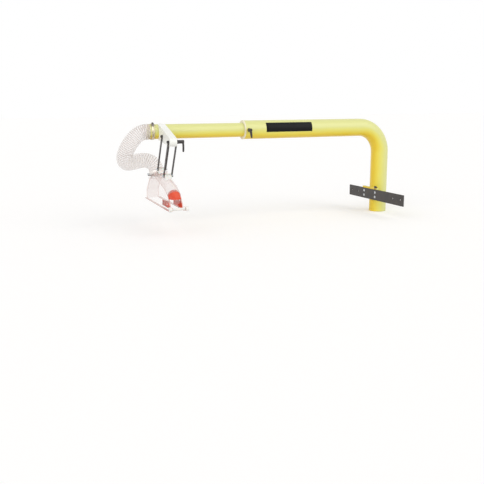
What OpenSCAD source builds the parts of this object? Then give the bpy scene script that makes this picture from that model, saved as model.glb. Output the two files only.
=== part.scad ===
// Overarm dust collection boom with a clear blade guard, for a table saw.
// A bent tube stands on a rail at the end of the table, a boom telescopes out of it,
// and four parallel links carry a guard that is emptied through a ribbed hose.
// Millimetres. The origin is on the rail's table face, in the middle of its bolt line.
// X runs from the blade to the column, Y from the operator to the back, Z up.

/* [Mounting] */
// Length of the rail on the end of the table
rail_len = 560; // [520:5:680]
// Thickness of the rail
rail_t = 6; // [4:0.5:10]
// Depth of the rail below its bolt line
rail_below = 35; // [28:1:50]
// Height of the table's surface above the rail's bolt line
table_above = 25; // [20:1:35]
// Height of the rail's top edge above the table's surface
rail_proud = 5; // [2:0.5:10]
// Distance between the outer pair of table bolts
outer_bolt_span = 500; // [440:5:510]
// Distance between the inner pair of table bolts
inner_bolt_span = 360; // [330:5:400]
// Diameter of the table bolt holes
table_bolt_hole = 11; // [8:0.5:14]
// How far the column stands behind the middle of the rail
column_offset = 55; // [30:1:70]
// Length of the bracket that carries the column
bracket_len = 150; // [140:1:180]
// Thickness of the bracket's plate
bracket_t = 8; // [6:0.5:12]
// Thickness of the bracket's lip over the rail
lip_t = 10; // [6:0.5:14]

/* [Tubes] */
// Outside diameter of the column and the fixed arm
arm_d = 101.6; // [92:0.1:122]
// Wall of the column and the fixed arm
arm_wall = 2; // [1.5:0.1:3]
// Centreline radius of the bend above the column
bend_r = 152; // [125:1:185]
// Length of the column below the rail's bolt line
spigot_drop = 110; // [90:1:140]
// Height of the boom's axis above the table
boom_h = 378; // [320:1:455]
// Distance from the column's axis to the fixed arm's mouth
arm_reach = 900; // [750:1:1080]
// Outside diameter of the boom
boom_d = 76.2; // [63.5:0.1:80]
// Wall of the boom
boom_wall = 2; // [1.5:0.1:3]
// Distance from the column's axis to the boom's open end
boom_reach = 1425; // [1385:1:1500]
// Length of the boom inside the fixed arm
boom_overlap = 350; // [280:1:420]

/* [Hanger] */
// Distance from the column's axis to the middle of the guard
guard_reach = 1359; // [1300:1:1365]
// Width of the hanger over its flanges
hanger_w = 36; // [30:0.5:48]
// Thickness of the hanger's sheet
hanger_t = 3.5; // [2:0.1:5]
// Radius of the hanger's rounded nose
nose_r = 22; // [17:0.5:27]
// Distance of the rear links' lower pivot behind the boom's axis
foot_back = 17.61; // [14:0.01:21]
// Height of the rear links' lower pivot above the table
foot_above = 179.84; // [178:0.01:190]
// Width of a link
link_w = 15; // [12:0.5:18]
// Thickness of a link
link_t = 4.5; // [3:0.1:6]
// Diameter of the pivot bolts
pivot_d = 8; // [6:0.5:10]

/* [Guard] */
// Width of the guard over its side panels
guard_w = 68; // [60:0.5:84]
// Thickness of the guard's clear sheet
guard_t = 3; // [2:0.1:5]
// Width of the flange turned out at the foot of each side panel
flange_w = 12; // [8:0.5:20]
// Outside diameter of the guard's outlet
port_d = 76.2; // [64:0.1:77]
// Wall of the guard's outlet
port_wall = 2.5; // [2:0.1:4]
// Length of the outlet above its base
port_len = 30; // [27:0.5:36]
// Diameter of the rollers at the guard's nose
roller_d = 25; // [20:0.5:30]

/* [Hose] */
// Thickness of the hose's plain cuffs
cuff_t = 2.2; // [1.5:0.1:3]
// Distance from one rib of the hose to the next
rib_pitch = 8.4; // [6:0.1:12]
// Height of a rib above the hose's skin
rib_h = 2; // [1:0.1:3]
// Width of the clamp bands
band_w = 12; // [9:0.5:15]

/* [Clearances] */
// Gap between curved faces that slide or turn past each other
slide_gap = 0.3; // [0.2:0.05:0.6]
// Radial gap of a pin that turns in its hole
pin_gap = 0.05; // [0.02:0.01:0.1]
// Gap between flat faces that slide past each other
side_gap = 0.5; // [0.3:0.1:1]

/* [Hidden] */
$fn = 96;

// Radii that follow from the diameters above
arm_r = arm_d / 2;
arm_bore_r = arm_r - arm_wall;
boom_r = boom_d / 2;
boom_bore_r = boom_r - boom_wall;
port_r = port_d / 2;
pivot_r = pivot_d / 2;

// The column stands in a shallow saddle of the bracket's plate
saddle_depth = 2.8;
bracket_x = rail_t + bracket_t;
column_x = bracket_x + arm_r - saddle_depth;
column_y = column_offset;
table_z = table_above;
rail_top_z = table_z + rail_proud;
bracket_low_z = 3 - rail_below;
lip_top_z = rail_top_z + lip_t;
boom_z = table_z + boom_h;
bend_z = boom_z - bend_r;
bead_r = 2;
bead_z = bracket_low_z - 2 * bead_r;
arm_mouth_x = column_x - arm_reach;
boom_end_x = column_x - boom_reach;
boom_tail_x = arm_mouth_x + boom_overlap;
guard_x = column_x - guard_reach;

// Screws that hold the bracket to the rail, set flush in the rail's table face
bracket_screw_r = 4;
bracket_screw_head_r = 8;
bracket_nut_af = 13;
bracket_nut_t = 6.5;
bracket_screw_y = 58;
bracket_screw_z = [-16, 12];
// Levelling screws through the front half of the lip: distance from the column, and radius
levelling_at = [[57, 5], [69, 3]];

// Bush in the arm's mouth and the ring on the boom's tail
bush_len = 60;
bush_lip = 5;
bush_lip_r = arm_r + 1.2;
bush_seat_gap = 0.05;
glide_len = 40;
// Clamping levers
lever_hub_r = 9;
lever_hub_len = 34;
lever_foot_r = 10;
lever_foot_t = 5;
lever_arm_len = 46;
lever_arm_t = 9;
lever_root_r = 7.5;
lever_tip_r = 4.5;
stud_r = 4;
lock_inset = 13;
lock_tilt = 8;
boss_r = 11;
boss_h = 7;

// Pivots of the links, from the boom's axis, as distances back and up
rear_pivot = [-97, -21];
pivot_step = [-121, -23];
front_pivot = rear_pivot + pivot_step;
rear_foot = [foot_back, foot_above - boom_h];
link_reach = rear_foot - rear_pivot;
front_foot = front_pivot + link_reach;
link_in = hanger_w / 2 + side_gap;
link_out = link_in + link_t;
head_t = 5.5;
head_r = 7;

// Outline of the guard from the boom's axis and the table: distance back, height
guard_heel = [250, -24];
guard_hip = [244, 48];
guard_shoulder = [168, 115];
guard_apex = [30, 168];
guard_crown = [-85, 149];
guard_forehead = [-170, 128];
guard_brow = [-236, 95];
guard_chin = [-284, 46];
guard_lip = [-298, -2];
nose_at = [-293, roller_d / 2 + 0.5];
nose_plate_r = 9;
axle_r = 3;
roller_w = 15;
sleeve_r = 6.5;
panel_in = guard_w / 2 - guard_t;
sheet_gap = 0.2;
// Outlet on the slope behind the guard's apex
port_along = 100;
port_slope = guard_shoulder - guard_apex;
port_tilt = atan2(-port_slope[1], port_slope[0]);
port_at = guard_apex + port_along * port_slope / norm(port_slope);
port_flange_t = 4;
port_flange_half = 46;
port_flange_out = 5;
port_throat_r = panel_in - 2;
port_flare = 10;
// Lugs on the roof
lug_r = 11;
lug_base_half = 22;
lug_turn = 25;
lug_sink = 9;
lug_gap = 0.05;
// Red front shield
shield_t = 2.5;
shield_lap = 12;
shield_low = 8;
cheek_notch = [-222, 44];
cheek_top = [-96, 37];
cheek_foot = [-88, 6];
arch_half = 26;
arch_top = 55;

// Clamps and the hose
cuff_gap = 0.15;
cuff_len = 34;
band_t = 1;
worm_len = 16;
worm_r = 5;
hose_sides = 8;
hose_fit = 0.4;
hose_skin = 0.9;
hose_end_gap = 0.3;

// The hose leaves the boom towards -X and comes down on the outlet from behind.
// Points of its route between the two straight ends: distance past the boom's end,
// distance behind the boom's axis, and share of the drop to the outlet's mouth.
hose_route = [
    [62, 3, 0.101], [93, 11, 0.2525], [114, 26, 0.427], [120, 53, 0.6015],
    [108, 92, 0.73], [79, 125, 0.776], [45, 143, 0.7435], [9, 151, 0.7205],
    [-25, 153, 0.7435], [-51, 150, 0.8265]
];

// Points along paths

// Unit normal to the right of the step from a to b
function right_of(a, b) = [(b - a)[1], (a - b)[0]] / norm(b - a);
// Corner of a bent sheet's far face, from the normals n and m of its two flats
function mitre(n, m) = (n + m) / (1 + n * m);
// The path p moved t to its right
function moved_right(p, t) = [
    for (i = [0 : len(p) - 1])
        let (a = right_of(p[max(i - 1, 0)], p[max(i, 1)]))
        let (b = right_of(p[min(i, len(p) - 2)], p[min(i + 1, len(p) - 1)]))
        p[i] + t * mitre(a, b)
];
function backwards(p) = [for (i = [len(p) - 1 : -1 : 0]) p[i]];
// Height of the line from a to b above y
function height_on(a, b, y) = a[1] + (b[1] - a[1]) * (y - a[0]) / (b[0] - a[0]);
function unit(v) = v / norm(v);

// Corners of the straight flanks between two circles, a hair inside their edges
flank_dip = 0.02;
function flanks(p, rp, q, rq) =
    let (d = q - p, turn = acos((rp - rq) / norm(d)), way = atan2(d[1], d[0]))
    let (up = [cos(way + turn), sin(way + turn)], down = [cos(way - turn), sin(way - turn)])
    let (fp = rp - flank_dip, fq = rq - flank_dip)
    [p + fp * up, q + fq * up, q + fq * down, p + fp * down];

// Extrudes a shape drawn in Y and Z along X
module across(from_x, to_x) {
    translate([from_x, 0, 0]) rotate([90, 0, 90]) linear_extrude(to_x - from_x) children();
}

// A rod along X at a place in Y and Z
module rod(from_x, to_x, at, r) {
    translate([from_x, at[0], at[1]]) rotate([0, 90, 0]) cylinder(h = to_x - from_x, r = r);
}

// A bar along X whose section is two circles in Y and Z, and the flanks between them
module bar(from_x, to_x, p, rp, q, rq) {
    rod(from_x, to_x, p, rp);
    rod(from_x, to_x, q, rq);
    across(from_x, to_x) polygon(flanks(p, rp, q, rq));
}

// A hexagon along X, across flats af
module hexagon(from_x, to_x, at, af) {
    translate([from_x, at[0], at[1]])
        rotate([0, 90, 0]) cylinder(h = to_x - from_x, r = af / sqrt(3), $fn = 6);
}

// Place of the boom's axis, and of the guard on the table below it
module at_boom() {
    translate([guard_x, column_y, boom_z]) children();
}
module at_guard() {
    translate([guard_x, column_y, table_z]) children();
}
// Z along the outlet, from the roof's face
module at_port() {
    at_guard() translate([0, port_at[0], port_at[1]]) rotate([-port_tilt, 0, 0]) children();
}
// The pivots' places from the guard's own origin
function from_table(p) = [p[0], p[1] + boom_h];

// Mounting

module table_rail() {
    color("#2e2c2c") difference() {
        translate([0, -rail_len / 2, -rail_below])
            cube([rail_t, rail_len, rail_below + rail_top_z]);
        for (span = [outer_bolt_span, inner_bolt_span], side = [-1, 1])
            rod(-1, rail_t + 1, [side * span / 2, 0], table_bolt_hole / 2);
        bracket_screw_places() {
            rod(-1, rail_t + 1, [0, 0], bracket_screw_r + slide_gap);
            countersink();
        }
    }
}

module bracket_screw_places() {
    for (side = [-1, 1], z = bracket_screw_z)
        translate([0, column_y + side * bracket_screw_y, z]) children();
}

module countersink() {
    rotate([0, 90, 0]) translate([0, 0, -0.001])
        cylinder(h = bracket_screw_head_r - bracket_screw_r,
                 r1 = bracket_screw_head_r, r2 = bracket_screw_r);
}

module mounting_bracket() {
    color("#e3cf4f") difference() {
        translate([0, column_y - bracket_len / 2, 0]) {
            translate([rail_t, 0, bracket_low_z])
                cube([bracket_t, bracket_len, lip_top_z - bracket_low_z]);
            translate([0, 0, rail_top_z]) cube([bracket_x, bracket_len, lip_t]);
        }
        translate([column_x, column_y, bracket_low_z - 1])
            cylinder(h = lip_top_z - bracket_low_z + 2, r = arm_r);
        bracket_screw_places() rod(0, bracket_x + 1, [0, 0], bracket_screw_r + slide_gap);
        for (s = levelling_at)
            translate([rail_t / 2, column_y - s[0], rail_top_z - 1])
                cylinder(h = lip_t + 2, r = s[1] + slide_gap);
    }
}

module bracket_screws() {
    shank = bracket_x + bracket_nut_t + 2;
    color("#8f9297") bracket_screw_places() {
        rod(0, shank, [0, 0], bracket_screw_r);
        rotate([0, 90, 0])
            cylinder(h = bracket_screw_head_r - bracket_screw_r - slide_gap,
                     r1 = bracket_screw_head_r - slide_gap, r2 = bracket_screw_r);
    }
}

module bracket_nuts() {
    color("#8f9297") bracket_screw_places() difference() {
        hexagon(bracket_x, bracket_x + bracket_nut_t, [0, 0], bracket_nut_af);
        rod(bracket_x - 1, bracket_x + bracket_nut_t + 1, [0, 0], bracket_screw_r);
    }
}

module levelling_screws() {
    color("#262424") for (s = levelling_at) {
        r = s[1];
        translate([rail_t / 2, column_y - s[0], rail_top_z]) {
            cylinder(h = lip_t, r = r);
            translate([0, 0, lip_t]) difference() {
                cylinder(h = 2 * r, r = 1.5 * r);
                translate([0, 0, r]) cylinder(h = r + 1, r = 0.9 * r, $fn = 6);
            }
        }
    }
}

// Column and fixed arm

module bent_solid(r, past) {
    translate([column_x, column_y, -spigot_drop - past])
        cylinder(h = bend_z + spigot_drop + past, r = r);
    translate([column_x - bend_r, column_y, bend_z])
        rotate([90, 0, 0]) rotate_extrude(angle = 90) translate([bend_r, 0]) circle(r);
    rod(arm_mouth_x - past, column_x - bend_r, [column_y, boom_z], r);
}

// Runs out of the front of the arm, where the boom's lock screws in
module at_lock() {
    translate([arm_mouth_x + lock_inset, column_y, boom_z]) rotate([90, 0, 0]) children();
}

module column_tube() {
    color("#e3cf4f") difference() {
        union() {
            bent_solid(arm_r, 0);
            translate([column_x, column_y, bead_z])
                rotate_extrude() translate([arm_r - bead_r / 2, 0]) circle(bead_r);
        }
        bent_solid(arm_bore_r, 1);
        at_lock() cylinder(h = arm_r + 1, r = stud_r + slide_gap);
    }
}

module arm_bush() {
    color("#efe9d2") difference() {
        union() {
            rod(arm_mouth_x, arm_mouth_x + bush_len, [column_y, boom_z], arm_bore_r - bush_seat_gap);
            rod(arm_mouth_x - bush_lip, arm_mouth_x, [column_y, boom_z], bush_lip_r);
        }
        rod(arm_mouth_x - bush_lip - 1, arm_mouth_x + bush_len + 1, [column_y, boom_z],
            boom_r + slide_gap);
        at_lock() cylinder(h = arm_r, r = stud_r + slide_gap);
    }
}

module lock_boss() {
    color("#e3cf4f") difference() {
        at_lock() translate([0, 0, arm_r - arm_wall]) cylinder(h = arm_wall + boss_h, r = boss_r);
        rod(arm_mouth_x, arm_mouth_x + 2 * lock_inset, [column_y, boom_z], arm_r);
        at_lock() cylinder(h = arm_r + boss_h + 1, r = stud_r + pin_gap);
    }
}

// A clamping lever: Z runs along its hub away from the face that it clamps, the arm hangs along -Y
module clamping_lever(bore_r) {
    difference() {
        union() {
            cylinder(h = lever_foot_t, r = lever_foot_r);
            cylinder(h = lever_hub_len, r = lever_hub_r);
            translate([0, -lever_arm_len, lever_hub_len - lever_arm_t])
                cylinder(h = lever_arm_t, r = lever_tip_r);
            translate([0, 0, lever_hub_len - lever_arm_t]) linear_extrude(lever_arm_t)
                polygon(flanks([0, 0], lever_root_r, [0, -lever_arm_len], lever_tip_r));
        }
        translate([0, 0, -1]) cylinder(h = lever_hub_len - 5, r = bore_r + pin_gap);
        translate([0, 0, lever_hub_len - 3]) cylinder(h = 4, r = lever_root_r - 2);
    }
}

lock_face = arm_r + boss_h + side_gap;

module boom_lock_lever() {
    color("#2b2829") at_lock() translate([0, 0, lock_face]) rotate([0, 0, lock_tilt])
        clamping_lever(stud_r);
}

module boom_lock_stud() {
    tip = boom_r + slide_gap;
    color("#a7abb0") at_lock() translate([0, 0, tip])
        cylinder(h = lock_face + lever_hub_len - 10 - tip, r = stud_r);
}

// Boom

module boom_tube() {
    color("#e3cf4f") difference() {
        rod(boom_end_x, boom_tail_x, [column_y, boom_z], boom_r);
        rod(boom_end_x - 1, boom_tail_x + 1, [column_y, boom_z], boom_bore_r);
    }
}

module boom_glide() {
    color("#efe9d2") difference() {
        rod(boom_tail_x - glide_len, boom_tail_x, [column_y, boom_z], arm_bore_r - slide_gap);
        rod(boom_tail_x - glide_len - 1, boom_tail_x + 1, [column_y, boom_z], boom_r);
    }
}

// The hanger's teardrop between two planes, t inside its outer face
module hanger_solid(half, t) {
    bar(-half, half, [0, 0], boom_r + hanger_t - t, front_pivot, nose_r - t);
}

module hanger_bracket() {
    half = hanger_w / 2;
    seat = boom_r * sin(10);
    hollow_fall = 2 * nose_r;
    color("#f2f3ee") at_boom() difference() {
        union() hanger_solid(half, 0);
        hanger_solid(half - hanger_t, hanger_t);
        translate([0, 0, -hollow_fall]) hanger_solid(half - hanger_t, hanger_t);
        rod(-half - 1, half + 1, [0, 0], boom_r);
        translate([-half - 1, -seat, -2 * boom_r]) cube([hanger_w + 2, 2 * boom_r, 4 * boom_r]);
        for (p = [rear_pivot, front_pivot]) rod(-half - 1, half + 1, p, pivot_r);
    }
}

// Links and pivots

// A link with its upper pivot at top, on the left (-1) or the right (1)
module link(side, top) {
    color("#2b2829") at_boom() difference() {
        union()
            bar(min(side * link_in, side * link_out), max(side * link_in, side * link_out),
                top, link_w / 2, top + link_reach, link_w / 2);
        for (p = [top, top + link_reach])
            rod(-link_out - 1, link_out + 1, p, pivot_r + pin_gap);
    }
}

module rear_left_link() link(-1, rear_pivot);
module rear_right_link() link(1, rear_pivot);
module front_left_link() link(-1, front_pivot);
module front_right_link() link(1, front_pivot);

// A bolt with a domed head outside the left link, and its plain end at to_x
module pivot_bolt(p, to_x) {
    head_x = -link_out - side_gap;
    rod(head_x, to_x, p, pivot_r);
    rod(head_x - head_t, head_x, p, head_r);
}

nut_x = link_out + side_gap;
nut_end_x = nut_x + head_t + 2;

module rear_upper_pivot() {
    color("#8f9297") at_boom() pivot_bolt(rear_pivot, nut_end_x);
}

module front_upper_pivot() {
    color("#8f9297") at_boom() pivot_bolt(front_pivot, nut_x + lever_hub_len - 10);
}

module pivot_nut(p) {
    difference() {
        hexagon(nut_x, nut_x + head_t, p, 2 * head_r - 1);
        rod(nut_x - 1, nut_x + head_t + 1, p, pivot_r);
    }
}

module upper_pivot_nut() {
    color("#8f9297") at_boom() pivot_nut(rear_pivot);
}

module guard_lock_lever() {
    color("#2b2829") at_boom() translate([nut_x, front_pivot[0], front_pivot[1]])
        rotate([90, 0, 90]) clamping_lever(pivot_r);
}

module rear_lower_pivot() {
    color("#8f9297") at_boom() pivot_bolt(rear_foot, nut_end_x);
}

module front_lower_pivot() {
    color("#8f9297") at_boom() pivot_bolt(front_foot, nut_end_x);
}

module lower_pivot_nuts() {
    color("#8f9297") at_boom() for (p = [rear_foot, front_foot]) pivot_nut(p);
}

// Guard

// Crest of the guard's roof from the front to the heel
guard_edge = [
    guard_lip, guard_chin, guard_brow, guard_forehead, guard_crown, guard_apex, guard_shoulder,
    guard_hip, guard_heel
];
brow_step = 2;
forehead_step = 3;
apex_step = 5;
heel_step = len(guard_edge) - 1;
function part_of(p, from_step, to_step) = [for (i = [from_step : to_step]) p[i]];

// In front of its apex the roof is half round across, and springs from a line dome_r inside its crest
dome_r = guard_w / 2;
springing = moved_right(guard_edge, dome_r);
dome_dip = 0.02;
dome_over = 5;

// What lies outside a half round of radius r along one step of the springing
module outside_dome(i, r) {
    a = springing[i];
    d = springing[i + 1] - a;
    past = 2 * dome_r;
    translate([0, a[0], a[1]]) rotate([atan2(d[1], d[0]), 0, 0]) difference() {
        translate([-r - dome_over, -past, 0.5])
            cube([2 * (r + dome_over), norm(d) + 2 * past, r + 4 * dome_over]);
        translate([0, -past - 1, 0]) rotate([-90, 0, 0])
            cylinder(h = norm(d) + 2 * past + 2, r = r);
    }
}

// A half round of radius r between two corners of the crest, with straight sides below the springing
module dome(from_step, to_step, r, skirt) {
    top = moved_right(guard_edge, dome_r - r - dome_over);
    low = moved_right(guard_edge, dome_r + skirt);
    difference() {
        across(-r + dome_dip, r - dome_dip)
            polygon(concat(part_of(top, from_step, to_step),
                           backwards(part_of(low, from_step, to_step))));
        for (i = [from_step : to_step - 1]) outside_dome(i, r);
    }
}

// Everything below a height above the table
module below(z) {
    translate([-guard_w, guard_lip[0] - guard_w, z - guard_w])
        cube([2 * guard_w, guard_heel[0] - guard_lip[0] + 2 * guard_w, guard_w]);
}

// A strip of bent sheet between two corners of the crest, t thick on its inside
module bent_strip(from_step, to_step, t, half) {
    inside = moved_right(guard_edge, t);
    across(-half, half)
        polygon(concat(part_of(guard_edge, from_step, to_step),
                       backwards(part_of(inside, from_step, to_step))));
}

// Half round in front, flat sheet behind, and a bulkhead between them at the apex
module guard_roof() {
    half = panel_in - sheet_gap / 2;
    behind = guard_t * unit(guard_shoulder - guard_apex);
    ahead = guard_t / 2 * unit(guard_crown - guard_apex);
    spring = springing[apex_step];
    step_down = guard_apex + (spring - guard_apex) / norm(spring - guard_apex);
    color("#e9eef0", 0.5) difference() {
        at_guard() {
            difference() {
                union() {
                    dome(brow_step, apex_step, dome_r, 0);
                    across(-half, half)
                        polygon([spring + ahead, step_down + ahead, step_down, guard_apex,
                                 guard_apex + behind, spring + behind, spring]);
                }
                dome(brow_step - 1, apex_step + 1, dome_r - guard_t, dome_over);
            }
            bent_strip(apex_step, heel_step, guard_t, half);
        }
        at_guard() below(0);
        at_port() translate([0, 0, -2 * guard_t]) cylinder(h = 4 * guard_t, r = port_throat_r);
    }
}

// Height of the roof's crest
function roof_at(y) =
    y > guard_crown[0] ? height_on(guard_apex, guard_crown, y) :
    height_on(guard_crown, guard_forehead, y);

// A saddle that stands on the roof's front slopes and holds a pivot bolt
module lug(foot) {
    p = from_table(foot);
    half = hanger_w / 2;
    front = p[0] - lug_base_half;
    rear = min(p[0] + lug_base_half, guard_apex[0] - guard_t);
    sink = [0, lug_sink];
    bend = front < guard_crown[0] && guard_crown[0] < rear ? [guard_crown - sink] : [];
    cap = (lug_r - flank_dip) * [cos(lug_turn), sin(lug_turn)];
    at_guard() difference() {
        union() {
            rod(-half, half, p, lug_r);
            across(-half, half) polygon(concat(
                [[front, roof_at(front)] - sink, p + [-cap[0], cap[1]], p + cap,
                 [rear, roof_at(rear)] - sink],
                bend
            ));
        }
        rod(-half - 1, half + 1, p, pivot_r);
        dome(forehead_step, apex_step + 1, dome_r + lug_gap, dome_r);
    }
}

module rear_lug() color("#f4f2ee") lug(rear_foot);
module front_lug() color("#f4f2ee") lug(front_foot);

// A side panel with its foot flange and the ear of the nose, on the left (-1) or the right (1)
module side_panel(side) {
    flange_front = nose_at[0] + 2 * nose_plate_r + 6;
    flange_holes = [-200, -20, 180];
    face_in = min(side * panel_in, side * guard_w / 2);
    face_out = max(side * panel_in, side * guard_w / 2);
    flange_out = guard_w / 2 + flange_w;
    outline = concat(part_of(moved_right(guard_edge, dome_r + sheet_gap), 0, apex_step),
                     part_of(guard_edge, apex_step, heel_step));
    ear = nose_plate_r - flank_dip;
    ear_root = springing[1][0] + 5;
    color("#e9eef0", 0.5) at_guard() difference() {
        union() {
            across(face_in, face_out) polygon(outline);
            rod(face_in, face_out, nose_at, nose_plate_r);
            across(face_in, face_out) polygon([
                nose_at + [0, ear], [ear_root, nose_at[1] + ear],
                [ear_root, nose_at[1] - ear], nose_at - [0, ear]
            ]);
            translate([min(side * panel_in, side * flange_out), flange_front, 0])
                cube([flange_out - panel_in, guard_hip[0] - flange_front, guard_t]);
        }
        below(0);
        rod(-guard_w, guard_w, nose_at, axle_r + pin_gap);
        for (y = flange_holes)
            translate([side * (guard_w / 2 + flange_w / 2), y, -1])
                cylinder(h = guard_t + 2, r = 2.5);
    }
}

module guard_left_side() side_panel(-1);
module guard_right_side() side_panel(1);

// Outlet on the flat sheet behind the apex, flared from its throat to its bore
module port_collar() {
    half = port_r + port_flange_out;
    color("#e9eef0", 0.6) at_port() difference() {
        union() {
            cylinder(h = port_len, r = port_r);
            translate([-half, -port_flange_half, 0])
                cube([2 * half, 2 * port_flange_half, port_flange_t]);
        }
        translate([0, 0, -1]) cylinder(h = port_flange_t + 2, r = port_throat_r);
        translate([0, 0, port_flange_t])
            cylinder(h = port_flare, r1 = port_throat_r, r2 = port_r - port_wall);
        translate([0, 0, port_flange_t + port_flare])
            cylinder(h = port_len, r = port_r - port_wall);
    }
}

// Red visor under the front of the roof, with an arm along the inside of each side panel
module front_shield() {
    r = panel_in - sheet_gap;
    face = r - dome_dip;
    slope = guard_forehead - guard_brow;
    arm = [springing[0], springing[1], springing[2], cheek_notch, cheek_top, cheek_foot];
    color("#d8402f", 0.7) at_guard() difference() {
        union() {
            difference() {
                dome(0, forehead_step, r, dome_over);
                dome(0, forehead_step, r - shield_t, 2 * dome_over);
                translate([0, guard_brow[0], guard_brow[1]])
                    rotate([atan2(slope[1], slope[0]), 0, 0])
                    translate([-guard_w, shield_lap, -guard_w]) cube(2 * guard_w);
            }
            for (side = [-1, 1])
                across(min(side * face, side * (face - shield_t)),
                       max(side * face, side * (face - shield_t)))
                    polygon(arm);
        }
        below(shield_low);
        translate([0, guard_brow[0], 0]) rotate([90, 0, 0]) linear_extrude(2 * guard_w) {
            translate([0, arch_top - arch_half]) circle(arch_half);
            translate([-arch_half, 0]) square([2 * arch_half, arch_top - arch_half]);
        }
    }
}

// Nose rollers

roller_in = guard_w / 2 + side_gap;
roller_out = roller_in + roller_w;

module nose_axle() {
    color("#a7abb0") at_guard() rod(-roller_out - 1, roller_out + 1, nose_at, axle_r);
}

module nose_roller(side) {
    color("#f6f4ef") at_guard() difference() {
        translate([0, nose_at[0], nose_at[1]]) rotate([0, 90, 0])
            rotate_extrude() translate([0, side > 0 ? roller_in : -roller_out]) union() {
                square([roller_d / 2 - 2, roller_w]);
                translate([0, 2]) square([roller_d / 2, roller_w - 4]);
                for (y = [2, roller_w - 2]) translate([roller_d / 2 - 2, y]) circle(2);
            }
        rod(-roller_out - 2, roller_out + 2, nose_at, axle_r);
    }
}

module nose_left_roller() nose_roller(-1);
module nose_right_roller() nose_roller(1);

module nose_sleeve() {
    color("#f6f4ef") at_guard() difference() {
        rod(-panel_in + side_gap, panel_in - side_gap, nose_at, sleeve_r);
        rod(-panel_in, panel_in, nose_at, axle_r);
    }
}

// Hose cuffs and clamps

module ring(r_in, r_out, h) {
    difference() {
        cylinder(h = h, r = r_out);
        translate([0, 0, -1]) cylinder(h = h + 2, r = r_in);
    }
}

// Z along each end of the hose, out of the tube that it is pushed over
module at_boom_end() {
    translate([boom_end_x, column_y, boom_z]) rotate([0, -90, 0]) children();
}
module at_port_end() {
    at_port() translate([0, 0, port_len]) children();
}

module cuff(tube_r, length) {
    color("#efe7e2", 0.6) translate([0, 0, -length])
        ring(tube_r + cuff_gap, tube_r + cuff_gap + cuff_t, length);
}

lower_cuff_len = port_len - port_flange_t - 1;

module upper_cuff() at_boom_end() cuff(boom_r, cuff_len);
module lower_cuff() at_port_end() cuff(port_r, lower_cuff_len);

function band_r(tube_r) = tube_r + 2 * cuff_gap + cuff_t;

// A band round a cuff with the housing of its worm screw on the +X side
module clamp_band(tube_r) {
    r = band_r(tube_r);
    color("#b9bdc1") difference() {
        union() {
            ring(r, r + band_t, band_w);
            translate([r + band_t / 2, -worm_len / 2, 0]) cube([2 * worm_r, worm_len, band_w]);
        }
        translate([r + band_t + worm_r, -worm_len, band_w / 2]) rotate([-90, 0, 0])
            cylinder(h = 2 * worm_len, r = worm_r - 1);
    }
}

module clamp_screw(tube_r) {
    color("#b9bdc1") translate([band_r(tube_r) + band_t + worm_r, -worm_len / 2, band_w / 2])
        rotate([-90, 0, 0]) {
            cylinder(h = worm_len, r = worm_r - 1);
            translate([0, 0, worm_len]) difference() {
                cylinder(h = 5, r = worm_r, $fn = 6);
                translate([-worm_r, -0.6, 3]) cube([2 * worm_r, 1.2, 3]);
            }
        }
}

module at_upper_clamp() {
    at_boom_end() translate([0, 0, -cuff_len / 2 - band_w / 2]) rotate([0, 0, -35]) children();
}
module at_lower_clamp() {
    at_port_end() translate([0, 0, -lower_cuff_len / 2 - band_w / 2]) rotate([0, 0, 155])
        children();
}

module upper_clamp_band() at_upper_clamp() clamp_band(boom_r);
module upper_clamp_screw() at_upper_clamp() clamp_screw(boom_r);
module lower_clamp_band() at_lower_clamp() clamp_band(port_r);
module lower_clamp_screw() at_lower_clamp() clamp_screw(port_r);

// Ribbed hose

port_way = [0, sin(port_tilt), cos(port_tilt)];
port_mouth = [guard_x, column_y + port_at[0], table_z + port_at[1]] + port_len * port_way;
hose_start = [boom_end_x - hose_end_gap, column_y, boom_z];
hose_finish = port_mouth + hose_end_gap * port_way;
hose_drop = boom_z - port_mouth[2];
start_run = 30;
finish_run = 10;
hose_points = concat(
    [hose_start, hose_start - [start_run, 0, 0]],
    [for (p = hose_route) hose_start + [hose_end_gap - p[0], p[1], -hose_drop * p[2]]],
    [hose_finish + finish_run * port_way, hose_finish]
);
spline_steps = 10;
function tangent_at(p, i) =
    i == 0 ? p[1] - p[0] :
    i == len(p) - 1 ? p[i] - p[i - 1] :
    i == 1 ? unit(p[1] - p[0]) * norm(p[2] - p[0]) / 2 :
    i == len(p) - 2 ? unit(p[i + 1] - p[i]) * norm(p[i + 1] - p[i - 1]) / 2 :
    (p[i + 1] - p[i - 1]) / 2;
// Hermite curve from a to b with end tangents s and e
function hermite(a, b, s, e, t) =
    a * (2 * t ^ 3 - 3 * t ^ 2 + 1) + s * (t ^ 3 - 2 * t ^ 2 + t) +
    b * (3 * t ^ 2 - 2 * t ^ 3) + e * (t ^ 3 - t ^ 2);
hose_line = [
    for (i = [0 : len(hose_points) - 2], k = [0 : spline_steps - 1])
        hermite(hose_points[i], hose_points[i + 1], tangent_at(hose_points, i),
                tangent_at(hose_points, i + 1), k / spline_steps),
    hose_finish
];
// Distance travelled at each point of the line
hose_travel = [
    for (i = 0, s = 0; i < len(hose_line);
         s = s + (i + 1 < len(hose_line) ? norm(hose_line[i + 1] - hose_line[i]) : 0), i = i + 1)
        s
];
hose_len = hose_travel[len(hose_travel) - 1];
// Point of the line at distance s
function along_hose(s) =
    let (x = min(max(s, 0), hose_len))
    [for (k = [0 : 2]) lookup(x, [for (i = [0 : len(hose_line) - 1]) [hose_travel[i], hose_line[i][k]]])];
rib_count = floor(hose_len / rib_pitch);
ring_step = hose_len / (2 * rib_count);
ring_count = 2 * rib_count + 1;
ring_at = [for (i = [0 : ring_count - 1]) along_hose(i * ring_step)];
ring_way = [
    for (i = [0 : ring_count - 1])
        unit(ring_at[min(i + 1, ring_count - 1)] - ring_at[max(i - 1, 0)])
];
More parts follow.
